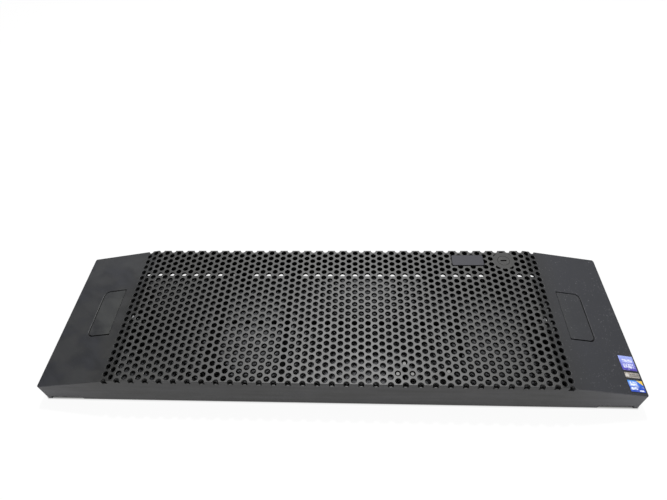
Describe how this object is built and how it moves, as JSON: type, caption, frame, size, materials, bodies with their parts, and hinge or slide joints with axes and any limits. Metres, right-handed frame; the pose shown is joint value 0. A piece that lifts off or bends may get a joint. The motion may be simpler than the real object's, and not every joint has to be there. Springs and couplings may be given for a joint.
{
  "type": "server front bezel",
  "caption": "Moulded honeycomb front bezel for a rack server, with sloped end wings, sprung release levers with latch hooks, a cam lock and a steel rear screen.",
  "frame": {"origin": "centre of the bounding box on the plane of the back rim, which the bezel lies on", "axes": "+X along the width to the right seen from the front, +Y up the face, +Z out of the face"},
  "size_m": [0.465, 0.1324, 0.0324],
  "materials": {
    "shell_plastic": "fine-textured black moulded plastic",
    "lever_plastic": "fine-textured black moulded plastic, as the shell",
    "screen_steel": "zinc-plated sheet, finely perforated",
    "plated_steel": "zinc-plated steel",
    "spring_steel": "bright spring wire",
    "screw_steel": "dark zinc-plated steel",
    "lock_metal": "black-coated die-cast metal",
    "badge_finish": "dark lavender-grey satin plate",
    "violet_label": "printed violet film",
    "grey_label": "printed silver-grey film",
    "blue_label": "printed blue film with a yellow corner"
  },
  "bodies": {
    "bezel": {"front_shell": "shell_plastic", "rear_screen": "screen_steel", "screen_screws": "screw_steel", "badge_plate": "badge_finish", "upper_label": "violet_label", "strip_label": "grey_label", "lower_label": "blue_label", "lock_housing": "lock_metal", "lock_nut": "plated_steel", "left_hinge_pin": "plated_steel", "right_hinge_pin": "plated_steel", "left_spring_plate": "plated_steel", "right_spring_plate": "plated_steel", "plate_screws": "screw_steel", "left_spring": "spring_steel", "right_spring": "spring_steel"},
    "left_release_lever": {"left_lever": "lever_plastic", "left_hook": "plated_steel", "left_hook_screws": "screw_steel"},
    "right_release_lever": {"right_lever": "lever_plastic", "right_hook": "plated_steel", "right_hook_screws": "screw_steel"},
    "lock_plug_and_cam": {"lock_plug": "lock_metal", "lock_cam": "plated_steel", "cam_screw": "screw_steel"}
  },
  "joints": [
    {"name": "left_release", "type": "hinge", "parent": "bezel", "child": "left_release_lever", "pos_m": [-0.1637, 0, 0.0225], "axis": [0, -1, 0], "range_deg": [0, 6], "stiffness_Nm_per_rad": 1.5, "springref_deg": -2.86, "deforming": ["left_spring"]},
    {"name": "right_release", "type": "hinge", "parent": "bezel", "child": "right_release_lever", "pos_m": [0.1637, 0, 0.0225], "axis": [0, 1, 0], "range_deg": [0, 6], "stiffness_Nm_per_rad": 1.5, "springref_deg": -2.86, "deforming": ["right_spring"]},
    {"name": "key_turn", "type": "hinge", "parent": "bezel", "child": "lock_plug_and_cam", "pos_m": [0.1475, 0.0545, 0.02], "axis": [0, 0, 1], "range_deg": [0, 90]}
  ]
}
